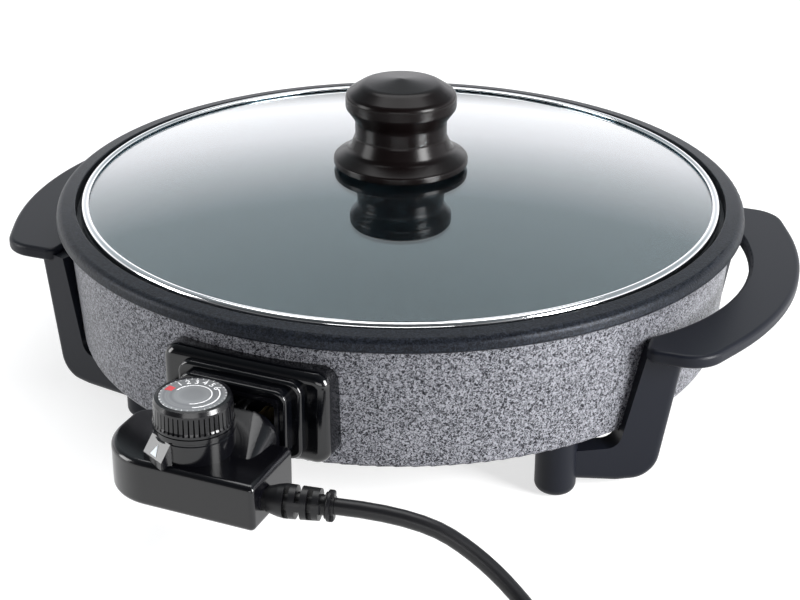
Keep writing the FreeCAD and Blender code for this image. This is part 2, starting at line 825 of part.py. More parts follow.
def dial_knob():
    """Knurled skirt under a smooth rounded rim, recessed for the face."""
    r = dial_radius
    z0 = dial_bottom
    z1 = dial_top
    form = turned([(0, z0), (r + 0.5, z0), (r + 0.5, z0 + 1.6, 0.3), (r + 0.1, z0 + 2.6), (r - 0.2, z1 - 2.4),
                   (r - 1.0, z1 - 0.3), (r - 2.7, z1), (r - 2.7, z1 - 1.0), (0, z1 - 1.0)])
    hub = turned([(5.5, z0 - 1), (r - 2.6, z0 - 1), (r - 2.6, z0 + 8, 1.5), (5.5, z0 + 8, 1.5)])
    form = form.cut(hub)
    flute_radius = r + 0.4
    flutes = []
    for i in range(knurl_count):
        angle = 2 * math.pi * i / knurl_count
        flute = Part.makePolygon([
            Vector(flute_radius - 1.15, 0, 0), Vector(flute_radius + 1, -1.0, 0),
            Vector(flute_radius + 1, 1.0, 0), Vector(flute_radius - 1.15, 0, 0)])
        flute = Part.Face(flute).extrude(UP * (z1 - 3.4 - z0 - 1.2))
        flute.rotate(Vector(), UP, math.degrees(angle))
        flute.translate(UP * (z0 + 1.2))
        flutes.append(flute)
    form = form.cut(Part.makeCompound(flutes))
    form.translate(Vector(dial_x, dial_y, 0))
    bore = rod(6 + 2 * seat_gap, Vector(dial_x, dial_y, z0 - 1),
               Vector(dial_x, dial_y, z0 + 8 + seat_gap))
    flat = box((dial_x + 2 + seat_gap, dial_y - 5, z0 - 2), (dial_x + 6, dial_y + 5, z0 + 20))
    return form.cut(bore.cut(flat))


def dial_plate():
    r = dial_radius - 2.7 - seat_gap
    low = dial_top - 1.0
    high = dial_top - 0.1
    plate = turned([(0, low), (r, low), (r, high - 0.2), (r - 0.2, high), (0, high)])
    plate.translate(Vector(dial_x, dial_y, 0))
    return plate


def pointer_lens():
    return pointer_shape(-1.4, 0.2, 0)


def pilot_lamp():
    """Small neon lamp that lies under the pointer."""
    middle = Vector(dial_x, dial_y, cavity_low + switch_base + 3.2) + polar(15, pointer_angle)
    along = polar(1, pointer_angle + 90)
    glass = turned([(0, 0), (3, 0, 0.8), (3, 11, 2.4), (0, 11)])
    return aimed(glass, middle - along * 5.5, along)


neck_diameter = 11.0


def relief_axis():
    turn = math.radians(relief_turn)
    return Vector(math.cos(turn), math.sin(turn), 0)


def strain_relief():
    """Tapered boot with staggered slots, so that it bends evenly."""
    r0 = relief_big / 2
    r1 = relief_small / 2
    core = cord_diameter / 2 + 0.9
    shape = turned([(0, 0.6), (neck_diameter / 2 + 0.6, 0.6), (r0 - 0.6, 6.0, 1.5), (r0, 9.5, 1),
                    (r1 + 0.1, relief_length - 6.2), (r1 - 1.2, relief_length - 5.6),
                    (r1 - 1.2, relief_length - 3.6), (r1, relief_length - 3.0, 0.5),
                    (r1, relief_length, 1.2), (0, relief_length)])
    slots = []
    places = [9.0, 14.6, 20.2, 25.8, 30.9]
    for i, start in enumerate(places):
        ring = turned([(core, start), (r0 + 2, start), (r0 + 2, start + 2.6), (core, start + 2.6)])
        web = box((-12, -2.2, start - 1), (12, 2.2, start + 4))
        if i % 2:
            web.rotate(Vector(), UP, 90)
        slots.append(ring.cut(web))
    shape = shape.cut(Part.makeCompound(slots))
    outlet = Vector(body_right, relief_y, relief_z)
    boot = aimed(shape, outlet, relief_axis())
    stub = rod(neck_diameter, outlet + Vector(-shell_wall - 0.5, 0, 0), outlet + Vector(1.6, 0, 0))
    flange = rod(neck_diameter + 3, outlet + Vector(-shell_wall - 3.5, 0, 0),
                 outlet + Vector(-shell_wall - 0.3, 0, 0))
    trim = box((body_right + 0.1, relief_y - 30, 0), (body_right + 80, relief_y + 30, 90))
    return boot.common(trim).multiFuse([stub, flange])


# The cord's route, chosen by hand: distance right of the boot's outlet, distance in
# front of it, and height as a share of the way from the table up to the outlet.
route_points = [
    (69.3, 14.7, 1.0),
    (102.3, 18.6, 0.57),
    (134.7, 9.2, 0.04),
    (158.9, -19.3, 0.0),
    (162.4, -59.2, 0.0),
    (147.7, -94.7, 0.0),
]


def route():
    outlet = Vector(body_right, relief_y, relief_z)
    points = [outlet + relief_axis() * (relief_length + 0.1)]
    floor = cord_diameter / 2
    for right, back, share in route_points:
        points.append(Vector(body_right + right, relief_y + back, floor + (relief_z - floor) * share))
    return points


def tube_along(points, diameter):
    """Straight runs joined by tangent arcs, swept as one tube."""
    edges = []
    radii = []
    last = points[0]
    length = 0
    for i in range(1, len(points) - 1):
        back = points[i - 1] - points[i]
        ahead = points[i + 1] - points[i]
        turn = math.pi - back.getAngle(ahead)
        shorter = min(back.Length, ahead.Length)
        radius = 0.45 * shorter / math.tan(turn / 2)
        reach = 0.45 * shorter
        back.normalize()
        ahead.normalize()
        middle = back + ahead
        middle.normalize()
        centre = points[i] + middle * (radius / math.cos(turn / 2))
        start = points[i] + back * reach
        end = points[i] + ahead * reach
        edges.append(Part.LineSegment(last, start).toShape())
        edges.append(Part.Arc(start, centre - middle * radius, end).toShape())
        radii.append(radius)
        last = end
    edges.append(Part.LineSegment(last, points[-1]).toShape())
    length = sum(edge.Length for edge in edges)
    along = points[1] - points[0]
    profile = Part.Wire([Part.makeCircle(diameter / 2, points[0], along)])
    tube = Part.Wire(edges).makePipeShell([profile], True, False)
    print("tube radii", [round(r, 1) for r in radii], "length", round(length, 1))
    expected = math.pi * diameter ** 2 / 4 * length
    print("tube volume over section times length", round(tube.Volume / expected, 5))
    return tube, length


def coil_path():
    """Half turns that spiral in, climb one layer and spiral out again.

    Local frame: the cord comes in at (-coil_outer_turn, 0) heading to -Y and
    turns left. Every half turn starts and ends on the local X axis.
    """
    pitch = cord_diameter + coil_gap
    low = cord_diameter / 2
    x = -coil_outer_turn
    radius = coil_outer_turn
    side = -1
    edges = []

    def half_turn(start_x, radius, side, z0, z1):
        centre_x = start_x - side * radius if start_x > 0 else start_x + radius
        centre_x = start_x + radius if start_x < 0 else start_x - radius
        end_x = 2 * centre_x - start_x
        start = Vector(start_x, 0, z0)
        end = Vector(end_x, 0, z1)
        middle = Vector(centre_x, 0, (z0 + z1) / 2)
        quarter = (start - middle).Length
        edges.append(Part.Arc(start, middle + Vector(0, side * quarter, 0), end).toShape())
        return end_x

    for i in range(coil_half_turns):
        x = half_turn(x, radius, side, low, low)
        radius -= pitch / 2
        side = -side
    climb = abs(x)
    x = half_turn(x, climb, side, low, low + pitch)
    side = -side
    radius = climb + pitch / 2
    high = low + pitch
    for i in range(coil_half_turns - 1):
        x = half_turn(x, radius, side, high, high)
        radius += pitch / 2
        side = -side
    centre_x = x + coil_exit_turn
    start = Vector(x, 0, high)
    diagonal = coil_exit_turn / math.sqrt(2)
    end = Vector(centre_x, -coil_exit_turn, high)
    edges.append(Part.Arc(start, Vector(centre_x - diagonal, -diagonal, high), end).toShape())
    tail = end + Vector(cord_diameter, 0, 0)
    head = Vector(-coil_outer_turn, cord_diameter, low)
    edges.insert(0, Part.LineSegment(head, Vector(-coil_outer_turn, 0, low)).toShape())
    edges.append(Part.LineSegment(end, tail).toShape())
    return edges, head, tail


def coil_frame():
    """Place and turn of the coil: it takes the cord's last run straight on."""
    points = route()
    along = points[-1] - points[-2]
    turn = math.degrees(math.atan2(along.y, along.x)) + 90
    head = Vector(-coil_outer_turn, cord_diameter, 0)
    rotation = FreeCAD.Rotation(UP, turn)
    base = Vector(points[-1].x, points[-1].y, 0) - rotation.multVec(head)
    return FreeCAD.Placement(base, rotation)


def cord_coil():
    edges, head, tail = coil_path()
    path = Part.Wire(edges)
    profile = Part.Wire([Part.makeCircle(cord_diameter / 2, head, Vector(0, -1, 0))])
    coil = path.makePipeShell([profile], True, False)
    length = path.Length
    expected = math.pi * cord_diameter ** 2 / 4 * length
    print("coil length", round(length, 1), "volume ratio", round(coil.Volume / expected, 5))
    print("coil least gap to itself", round(self_gap(edges) - cord_diameter, 3))
    coil.Placement = coil_frame()
    return coil, length


def self_gap(edges):
    """Least distance between stretches that lie a half turn or more apart."""
    points = []
    for edge in edges:
        count = max(2, int(edge.Length / 2))
        points += edge.discretize(count)[:-1]
    least = 1e9
    skip = int(60 / 2)
    for i, p in enumerate(points):
        for q in points[i + skip:]:
            least = min(least, (p - q).Length)
    return least


def plug_frame():
    """The plug lies on its back beside the coil, pins up."""
    edges, head, tail = coil_path()
    placement = coil_frame()
    start = placement.multVec(tail)
    along = placement.Rotation.multVec(Vector(1, 0, 0))
    return start, along


plug_boot_length = 26.0
plug_reach = plug_boot_length + plug_diameter / 2 - 2


def plug_parts():
    """Round moulded plug with a side boot, two pins and two earth contacts."""
    start, along = plug_frame()
    level = start.z
    r = plug_diameter / 2
    body = turned([(0, 0), (r - 1.5, 0, 1.2), (r, 3.5, 2), (r, plug_height - 3),
                   (r - 0.8, plug_height, 0.5), (0, plug_height)])
    rib = box((-r - 5, r - 2.2, 5), (r + 5, r + 5, plug_height + 1))
    body = body.cut(rib).cut(rib.mirror(Vector(), Vector(0, 1, 0)))
    recess = rod(4.8, Vector(-9.5, 0, plug_height - 12), Vector(-9.5, 0, plug_height + 1))
    body = body.cut(recess)
    boot = turned([(0, 0), (cord_diameter / 2 + 1.0, 0, 0.8), (7.0, plug_boot_length - 2),
                   (8.2, plug_boot_length + 4), (0, plug_boot_length + 4)])
    grooves = []
    for i in range(4):
        z = 4 + i * 5.0
        grooves.append(turned([(cord_diameter / 2 + 0.8, z), (12, z), (12, z + 1.8),
                               (cord_diameter / 2 + 0.8, z + 1.8)]))
    boot = boot.cut(Part.makeCompound(grooves))
    boot = aimed(boot, Vector(-plug_reach, 0, level), Vector(1, 0, 0))
    slot_depth = 1.2
    for side in (-1, 1):
        y = side * (r - 2.2)
        inner = y - side * slot_depth
        body = body.cut(box((-3.2, min(y, inner), 7), (3.2, max(y, inner), plug_height + 1)))
    bores = []
    pins = []
    for side in (-1, 1):
        y = side * plug_pin_spacing / 2
        radius = plug_pin_diameter / 2
        root = radius - 0.5
        pin = turned([(0, plug_height - 4), (root, plug_height - 4), (root, plug_height),
                      (radius, plug_height), (radius, plug_height + plug_pin_length, 1.6),
                      (0, plug_height + plug_pin_length)])
        pin.translate(Vector(0, y, 0))
        pins.append(pin)
        bores.append(rod(2 * (root + seat_gap), Vector(0, y, plug_height - 4),
                         Vector(0, y, plug_height + 5)))
    body = body.fuse(boot).cut(Part.makeCompound(bores))
    clips = []
    for side in (-1, 1):
        y = side * (r - 2.2 - slot_depth)
        outer = y + side * 0.8
        clips.append(box((-2.9, min(y, outer), 7.3), (2.9, max(y, outer), plug_height - 0.2)))
    turn = math.degrees(math.atan2(along.y, along.x))
    placement = FreeCAD.Placement(Vector(start.x, start.y, 0) + along * plug_reach,
                                  FreeCAD.Rotation(UP, turn))
    placed = []
    for group in ([body], pins, clips):
        moved = []
        for shape in group:
            shape = shape.copy()
            shape.Placement = placement.multiply(shape.Placement)
            moved.append(shape)
        placed.append(moved)
    print("plug middle", placement.Base)
    return placed


def build():
    os.makedirs("parts", exist_ok=True)
    export("pan", pan())
    export("heating_element", heating_element(element_tube))
    export("element_end_seals", end_seals())
    export("terminal_pins", terminal_pins())
    export("socket_housing", socket_housing())
    export("socket_screws", socket_screws())
    right = handle()
    export("handle_right", right)
    export("handle_left", half_turned(right))
    export("handle_screws", handle_screws())
    export("lid_glass", lid_glass())
    export("lid_rim", lid_rim())
    export("lid_knob", lid_knob())
    export("knob_insert", knob_insert())
    export("knob_seal", knob_seal())
    export("lid_washer", lid_washer())
    export("lid_screw", lid_screw())
    export("thermostat_upper_shell", upper_shell())
    export("thermostat_lower_shell", lower_shell())
    export("shell_screws", shell_screws())
    export("contact_sleeves", contact_sleeves())
    export("thermostat_probe", probe())
    export("earth_springs", earth_springs())
    export("switch_block", switch_block())
    export("dial_shaft", dial_shaft())
    export("dial_knob", dial_knob())
    export("dial_plate", dial_plate())
    export("pointer_lens", pointer_lens())
    export("pilot_lamp", pilot_lamp())
    export("strain_relief", strain_relief())
    cord, free_length = tube_along(route(), cord_diameter)
    export("cord", cord)
    coil, wound_length = cord_coil()
    export("cord_coil", coil)
    print("cord length", round(free_length + wound_length, 1))
    body, pins, clips = plug_parts()
    export("mains_plug", body)
    export("plug_pins", pins)
    export("plug_earth_clips", clips)


build()
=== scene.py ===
# %% [markdown]
# # An electric skillet with a lift-off glass lid
#
# The solid model gives every part its shape, place and joints. This notebook gives it looks:
# the camera and the mains cord first, then the materials, the marks on the dial, the floor and
# the light. All lengths are metres. The table is z = 0 and the pan's middle is x = y = 0.

# %% Load the solid model
import bpy
import math
from mathutils import Matrix, Vector


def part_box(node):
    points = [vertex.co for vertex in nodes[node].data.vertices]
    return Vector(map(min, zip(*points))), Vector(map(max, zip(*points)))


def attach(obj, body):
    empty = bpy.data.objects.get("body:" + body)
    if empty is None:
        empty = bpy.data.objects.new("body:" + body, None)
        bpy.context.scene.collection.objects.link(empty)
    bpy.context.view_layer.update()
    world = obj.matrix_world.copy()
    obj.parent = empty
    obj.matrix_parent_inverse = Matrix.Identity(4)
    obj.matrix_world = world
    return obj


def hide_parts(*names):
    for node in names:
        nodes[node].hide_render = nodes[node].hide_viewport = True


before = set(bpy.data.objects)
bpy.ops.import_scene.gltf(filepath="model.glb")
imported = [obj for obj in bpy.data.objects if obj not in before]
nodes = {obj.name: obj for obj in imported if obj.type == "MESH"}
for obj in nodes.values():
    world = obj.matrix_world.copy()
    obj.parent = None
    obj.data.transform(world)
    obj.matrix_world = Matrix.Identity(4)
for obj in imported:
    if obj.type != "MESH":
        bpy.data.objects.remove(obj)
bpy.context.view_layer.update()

# %% [markdown]
# ## Camera
#
# The photograph looks down at the lid from about 25 degrees, with the socket turned 23 degrees
# from the line of sight. The view direction, the right direction and the up direction make up
# the camera's own axes, and a third of a degree of roll levels the lid's ring.

# %% Camera
turn = math.radians(23.0)
tilt = math.radians(25.535)
roll = math.radians(0.324)
forward = Vector((-math.sin(turn) * math.cos(tilt), math.cos(turn) * math.cos(tilt), -math.sin(tilt)))
right = Vector((math.cos(turn), math.sin(turn), 0))
up = right.cross(forward)
axis_x = right * math.cos(roll) + up * math.sin(roll)
axis_y = up * math.cos(roll) - right * math.sin(roll)

lens = bpy.data.cameras.new("camera")
lens.lens = 78.0
lens.sensor_width = 36.0
camera = bpy.data.objects.new("camera", lens)
bpy.context.scene.collection.objects.link(camera)
axes = Matrix((axis_x, axis_y, -forward)).transposed().to_4x4()
camera.matrix_world = Matrix.Translation((0.3592, -0.8463, 0.4752)) @ axes
bpy.context.scene.camera = camera
print("camera at", [round(v, 3) for v in camera.location])

# %% [markdown]
# ## Small helpers for materials
#
# A material is a graph of nodes. These helpers keep the graphs short to read: one makes a
# material and hands back its main shader, one adds a node, and one joins a ramp of colours.


# %% Material helpers
def material(name, colour, roughness, **settings):
    made = bpy.data.materials.new(name)
    made.use_nodes = True
    shader = made.node_tree.nodes["Principled BSDF"]
    shader.inputs["Base Color"].default_value = (*colour, 1)
    shader.inputs["Roughness"].default_value = roughness
    for key, value in settings.items():
        shader.inputs[key.replace("_", " ")].default_value = value
    return made, shader


def add(tree, kind, **settings):
    node = tree.nodes.new(kind)
    for key, value in settings.items():
        if key in node.inputs:
            node.inputs[key].default_value = value
        else:
            setattr(node, key, value)
    return node


def ramp(tree, source, stops):
    node = add(tree, "ShaderNodeValToRGB")
    elements = node.color_ramp.elements
    while len(elements) < len(stops):
        elements.new(0.5)
    for element, (place, colour) in zip(elements, stops):
        element.position = place
        element.color = (*colour, 1)
    tree.links.new(source, node.inputs["Fac"])
    return node.outputs["Color"]


def bump(tree, shader, height, strength, distance):
    node = add(tree, "ShaderNodeBump", Strength=strength, Distance=distance)
    tree.links.new(height, node.inputs["Height"])
    tree.links.new(node.outputs["Normal"], shader.inputs["Normal"])


def coordinates(tree):
    return add(tree, "ShaderNodeTexCoord").outputs["Object"]


print("helpers ready")

# %% [markdown]
# ## Mains cord
#
# The cord leaves the boot, sinks to the table in a long bend and winds into a flat coil that
# lies just outside the picture. One smooth spline carries it all. The first points are the
# given route. The coil's points come from a loop: half turns that spiral in, climb one
# layer, and spiral out again.

# %% Mains cord
cord_radius = 0.004
pitch = 0.0086           # from one turn of the coil to the next
coil_radius = 0.049      # the outermost half turn
last_radius = 0.056      # the quarter turn that leads the cord out to the plug
steps_a_half_turn = 12
steps_of_the_last = 8
outward = 1.004          # the spline cuts its corners a little, so the points stand out by this
route = [
    (0.06699, -0.23280, 0.0455), (0.1043, -0.2249, 0.0455), (0.1373, -0.2210, 0.0277),
    (0.1697, -0.2304, 0.0057), (0.1939, -0.2589, 0.0040), (0.1974, -0.2988, 0.0040),
    (0.1827, -0.3343, 0.0040),
]
last_run = Vector(route[-1]) - Vector(route[-2])
coil_turn = Matrix.Rotation(math.atan2(last_run.y, last_run.x) + math.pi / 2, 3, "Z")
coil_place = Vector(route[-1]) - coil_turn @ Vector((-coil_radius, 0.008, 0.0))


def half_turns():
    """Start, radius and the two heights of every half turn."""
    start = -coil_radius
    radius = coil_radius
    rows = []
    for layer, count in ((0, 4), (1, 1), (2, 3)):
        for _ in range(count):
            if layer == 1:
                radius = abs(start)
            climb = pitch if layer == 1 else 0.0
            base = pitch if layer == 2 else 0.0
            rows.append((start, radius, base, climb))
            start = -start + (2 * radius - 2 * abs(start)) * (1 if start < 0 else -1)
            radius += -pitch / 2 if layer == 0 else pitch / 2
    return rows


def coil_points():
    points = []
    for start, radius, base, climb in half_turns():
        centre = start + radius if start < 0 else start - radius
        first = math.pi if start < 0 else 0.0
        reach = radius * outward
        for step in range(steps_a_half_turn):
            share = step / steps_a_half_turn
            angle = first + math.pi * share
            points.append((centre + reach * math.cos(angle), reach * math.sin(angle),
                           base + climb * share))
    for step in range(1, steps_of_the_last):
        angle = math.pi + math.pi / 2 * step / steps_of_the_last
        points.append((0.007 + last_radius * math.cos(angle), last_radius * math.sin(angle), pitch))
    points.append((0.007, -last_radius, pitch))
    points.append((0.015, -last_radius, pitch))
    return [coil_place + coil_turn @ Vector(point) for point in points]


curve = bpy.data.curves.new("mains_cord", "CURVE")
curve.dimensions = "3D"
curve.bevel_depth = 1.0      # each point's radius is the cord's, so the depth only multiplies by one
curve.bevel_resolution = 5
curve.resolution_u = 6
spline = curve.splines.new("NURBS")
path = [Vector(point) for point in route] + coil_points()
spline.points.add(len(path) - 1)
for point, place in zip(spline.points, path):
    point.co = (*place, 1)
    point.radius = cord_radius
spline.order_u = 3
spline.use_endpoint_u = True
spline.use_smooth = True
cord = bpy.data.objects.new("mains_cord", curve)
bpy.context.scene.collection.objects.link(cord)
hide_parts("cord", "cord_coil")
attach(cord, "thermostat")
print("cord has", len(path), "points")

# %% [markdown]
# ## Hammertone paint on the pan
#
# Hammertone paint dries in small cells, silver in the middle and dark between. Noise stretched
# through a steep ramp gives the cells. Height and distance from the middle pick the three
# zones: painted wall, dark rim and the dark cooking surface.

# %% Pan
rim_bottom = 0.0992        # the rim's dark coat begins at this height
inside_radius = 0.1832     # the cooking surface reaches this far from the middle
inside_bottom = 0.0715     # and lies above this height
paint, shader = material("hammertone_paint", (0.3, 0.3, 0.32), 0.40, Metallic=0.35,
                         Specular_IOR_Level=0.2)
tree = paint.node_tree
place = coordinates(tree)
cells = add(tree, "ShaderNodeTexNoise", Scale=900.0, Detail=1.0, Roughness=0.5, Distortion=1.2)
tree.links.new(place, cells.inputs["Vector"])
cloud = add(tree, "ShaderNodeTexNoise", Scale=45.0, Detail=2.0)
tree.links.new(place, cloud.inputs["Vector"])
wall = ramp(tree, cells.outputs["Fac"], [(0.36, (0.006, 0.006, 0.009)), (0.46, (0.09, 0.092, 0.105)),
                                         (0.62, (0.29, 0.293, 0.32))])
rim = ramp(tree, cells.outputs["Fac"], [(0.40, (0.003, 0.004, 0.006)), (0.70, (0.017, 0.021, 0.030))])
floor_dark = ramp(tree, cloud.outputs["Fac"], [(0.3, (0.018, 0.021, 0.025)), (0.7, (0.03, 0.033, 0.038))])

parts = add(tree, "ShaderNodeSeparateXYZ")
tree.links.new(place, parts.inputs["Vector"])
flat = add(tree, "ShaderNodeCombineXYZ")
tree.links.new(parts.outputs["X"], flat.inputs["X"])
tree.links.new(parts.outputs["Y"], flat.inputs["Y"])
distance = add(tree, "ShaderNodeVectorMath", operation="LENGTH")
tree.links.new(flat.outputs["Vector"], distance.inputs[0])


def above(value, limit):
    node = add(tree, "ShaderNodeMath", operation="GREATER_THAN")
    tree.links.new(value, node.inputs[0])
    node.inputs[1].default_value = limit
    return node.outputs["Value"]


def pick(switch, off, on):
    node = add(tree, "ShaderNodeMix", data_type="RGBA")
    tree.links.new(switch, node.inputs["Factor"])
    tree.links.new(off, node.inputs[6])
    tree.links.new(on, node.inputs[7])
    return node.outputs[2]


colour = pick(above(parts.outputs["Z"], rim_bottom), wall, rim)
inside = add(tree, "ShaderNodeMath", operation="LESS_THAN")
tree.links.new(distance.outputs["Value"], inside.inputs[0])
inside.inputs[1].default_value = inside_radius
over_floor = add(tree, "ShaderNodeMath", operation="MULTIPLY")
tree.links.new(inside.outputs["Value"], over_floor.inputs[0])
tree.links.new(above(parts.outputs["Z"], inside_bottom), over_floor.inputs[1])
colour = pick(over_floor.outputs["Value"], colour, floor_dark)
tree.links.new(colour, shader.inputs["Base Color"])
bump(tree, shader, cells.outputs["Fac"], 0.35, 0.0004)
print("hammertone paint made")

# %% [markdown]
# ## Metals, glass and plastics
#
# Each finish is one material. Matt plastic gets a fine grain, the satin knob a brown-black
# gloss, and the lid a strong clear reflection over slightly tinted glass.

# %% Plain finishes
steel, _ = material("bright_steel", (0.86, 0.86, 0.87), 0.09, Metallic=1.0)
screw_metal, _ = material("screw_steel", (0.6, 0.6, 0.62), 0.3, Metallic=1.0)
heater, _ = material("heater_metal", (0.28, 0.27, 0.26), 0.45, Metallic=0.9)
brass, _ = material("brass", (0.8, 0.6, 0.28), 0.3, Metallic=1.0)
ceramic, _ = material("ceramic_seal", (0.85, 0.83, 0.78), 0.6)
rubber, _ = material("silicone", (0.05, 0.05, 0.05), 0.6)
socket, _ = material("socket_plastic", (0.0015, 0.0017, 0.0025), 0.12)
control, _ = material("control_plastic", (0.002, 0.002, 0.003), 0.16)
dial_black, _ = material("dial_plastic", (0.002, 0.002, 0.003), 0.22)
knob, _ = material("knob_plastic", (0.0035, 0.0022, 0.0022), 0.24, Specular_IOR_Level=0.16)
pointer, _ = material("pointer_window", (0.72, 0.78, 0.82), 0.3)
lamp, _ = material("lamp_glass", (0.9, 0.5, 0.3), 0.1)
pvc, _ = material("cord_pvc", (0.004, 0.004, 0.005), 0.38, Specular_IOR_Level=0.35)
print("plain finishes made")

# %% Lid glass
glass, _ = material("lid_glass", (0.42, 0.56, 0.62), 0.015, IOR=1.95, Transmission_Weight=1.0,
                    Coat_Weight=1.0, Coat_IOR=1.9, Coat_Roughness=0.01)
print("glass made")

# %% Grained grips
grips, shader = material("grip_plastic", (0.004, 0.005, 0.009), 0.42, Specular_IOR_Level=0.20)
tree = grips.node_tree
grain = add(tree, "ShaderNodeTexNoise", Scale=1800.0, Detail=2.0)
tree.links.new(coordinates(tree), grain.inputs["Vector"])
bump(tree, shader, grain.outputs["Fac"], 0.12, 0.0002)
print("grips made")

# %% Brushed dial face
dial_middle = Vector((-0.0076, -0.2294, 0.0))
face, shader = material("dial_face", (0.34, 0.34, 0.35), 0.33, Metallic=0.75)
tree = face.node_tree
shift = add(tree, "ShaderNodeVectorMath", operation="SUBTRACT")
tree.links.new(coordinates(tree), shift.inputs[0])
shift.inputs[1].default_value = dial_middle
turned = add(tree, "ShaderNodeVectorMath", operation="LENGTH")
tree.links.new(shift.outputs["Vector"], turned.inputs[0])
rings = add(tree, "ShaderNodeTexNoise", noise_dimensions="1D", Scale=2500.0, Detail=2.0)
tree.links.new(turned.outputs["Value"], rings.inputs["W"])
tint = ramp(tree, rings.outputs["Fac"], [(0.3, (0.26, 0.26, 0.27)), (0.7, (0.42, 0.42, 0.43))])
tree.links.new(tint, shader.inputs["Base Color"])
print("dial face made")

# %% Give the parts their finishes
finishes = {
    "pan": paint, "lid_glass": glass, "lid_knob": knob,
    "handle_right": grips, "handle_left": grips, "socket_housing": socket,
    "thermostat_upper_shell": control, "thermostat_lower_shell": control,
    "dial_knob": dial_black, "dial_plate": face, "pointer_lens": pointer, "pilot_lamp": lamp,
    "strain_relief": pvc, "mains_plug": pvc, "heating_element": heater,
    "element_end_seals": ceramic, "switch_block": ceramic, "thermostat_probe": steel,
    "knob_insert": brass, "contact_sleeves": brass, "earth_springs": brass,
    "knob_seal": rubber,
}
for name, node in nodes.items():
    finish = finishes.get(name)
    if finish is None and ("screw" in name or "washer" in name or "pins" in name or "shaft" in name
                           or "clips" in name):
        finish = screw_metal
    if finish and node.material_slots:
        for slot in node.material_slots:
            slot.material = finish
        print("finish", name, finish.name)
curve.materials.append(pvc)

# %% [markdown]
# ## Steel ring round the glass
#
# The ring mirrors the whole studio, so it needs a finer mesh than the solid model's. Its profile
# is a rolled bead. The loop turns the profile round the pan's axis and shades it smooth.

# %% Steel ring
ring_low, ring_high = (corner[2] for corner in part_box("lid_rim"))
bead = [(0.1755, ring_low + 0.001), (0.1755, ring_low), (0.1784, ring_low), (0.1794, ring_low + 0.0005),
        (0.1799, ring_low + 0.0015), (0.1799, ring_high - 0.0024), (0.1796, ring_high - 0.0012),
        (0.1789, ring_high - 0.0004), (0.1779, ring_high), (0.1766, ring_high - 0.0001),
        (0.1756, ring_high - 0.0006), (0.1755, ring_high - 0.0012), (0.1768, ring_high - 0.0014),
        (0.1786, ring_high - 0.0016), (0.1789, ring_high - 0.003), (0.1789, ring_low + 0.0018),
        (0.1780, ring_low + 0.001)]
around = 320             # steps round the ring
points = []
faces = []
for step in range(around):
    angle = 2 * math.pi * step / around
    for radius, height in bead:
        points.append((radius * math.cos(angle), radius * math.sin(angle), height))
for step in range(around):
    here = step * len(bead)
    there = (step + 1) % around * len(bead)
    for i in range(len(bead)):
        j = (i + 1) % len(bead)
        faces.append((here + i, there + i, there + j, here + j))
ring_mesh = bpy.data.meshes.new("steel_ring")
ring_mesh.from_pydata(points, [], faces)
ring_mesh.shade_smooth()
ring_mesh.materials.append(steel)
ring = bpy.data.objects.new("steel_ring", ring_mesh)
bpy.context.scene.collection.objects.link(ring)
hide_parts("lid_rim")
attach(ring, "lid")
print("ring has", len(faces), "faces")

# %% [markdown]
# ## Marks on the dial
#
# Short ticks stand round the dial's edge. They are copies of one small bar, so Geometry Nodes
# makes them: a circle of points, a bar on each, turned to face the middle. The numbers are flat
# text, a red block marks the off place, and a white arc runs round the middle.

# %% Ticks by Geometry Nodes
print_low = 0.08590      # the print lies on the dial face, between these heights
print_high = 0.08597
ink, _ = material("white_print", (0.85, 0.85, 0.86), 0.5)
red, _ = material("red_print", (0.55, 0.05, 0.06), 0.5)

tree = bpy.data.node_groups.new("dial_ticks", "GeometryNodeTree")
tree.interface.new_socket("Count", in_out="INPUT", socket_type="NodeSocketInt")
tree.interface.new_socket("Radius", in_out="INPUT", socket_type="NodeSocketFloat")
tree.interface.new_socket("Ink", in_out="INPUT", socket_type="NodeSocketMaterial")
tree.interface.new_socket("Geometry", in_out="OUTPUT", socket_type="NodeSocketGeometry")
entry = tree.nodes.new("NodeGroupInput")
leave = tree.nodes.new("NodeGroupOutput")
circle = tree.nodes.new("GeometryNodeMeshCircle")
bar = tree.nodes.new("GeometryNodeMeshCube")
bar.inputs["Size"].default_value = (0.0009, 0.00022, print_high - print_low)
spread = tree.nodes.new("GeometryNodeInstanceOnPoints")
position = tree.nodes.new("GeometryNodeInputPosition")
aim = tree.nodes.new("FunctionNodeAlignRotationToVector")
aim.axis = "X"
lift = tree.nodes.new("GeometryNodeTransform")
lift.inputs["Translation"].default_value = (dial_middle.x, dial_middle.y, (print_low + print_high) / 2)
real = tree.nodes.new("GeometryNodeRealizeInstances")
paint_on = tree.nodes.new("GeometryNodeSetMaterial")
for a, b in (
    (entry.outputs["Count"], circle.inputs["Vertices"]),
    (entry.outputs["Radius"], circle.inputs["Radius"]),
    (circle.outputs["Mesh"], spread.inputs["Points"]),
    (bar.outputs["Mesh"], spread.inputs["Instance"]),
    (position.outputs["Position"], aim.inputs["Vector"]),
    (aim.outputs["Rotation"], spread.inputs["Rotation"]),
    (spread.outputs["Instances"], real.inputs["Geometry"]),
    (real.outputs["Geometry"], lift.inputs["Geometry"]),
    (lift.outputs["Geometry"], paint_on.inputs["Geometry"]),
    (entry.outputs["Ink"], paint_on.inputs["Material"]),
    (paint_on.outputs["Geometry"], leave.inputs["Geometry"]),
):
    tree.links.new(a, b)

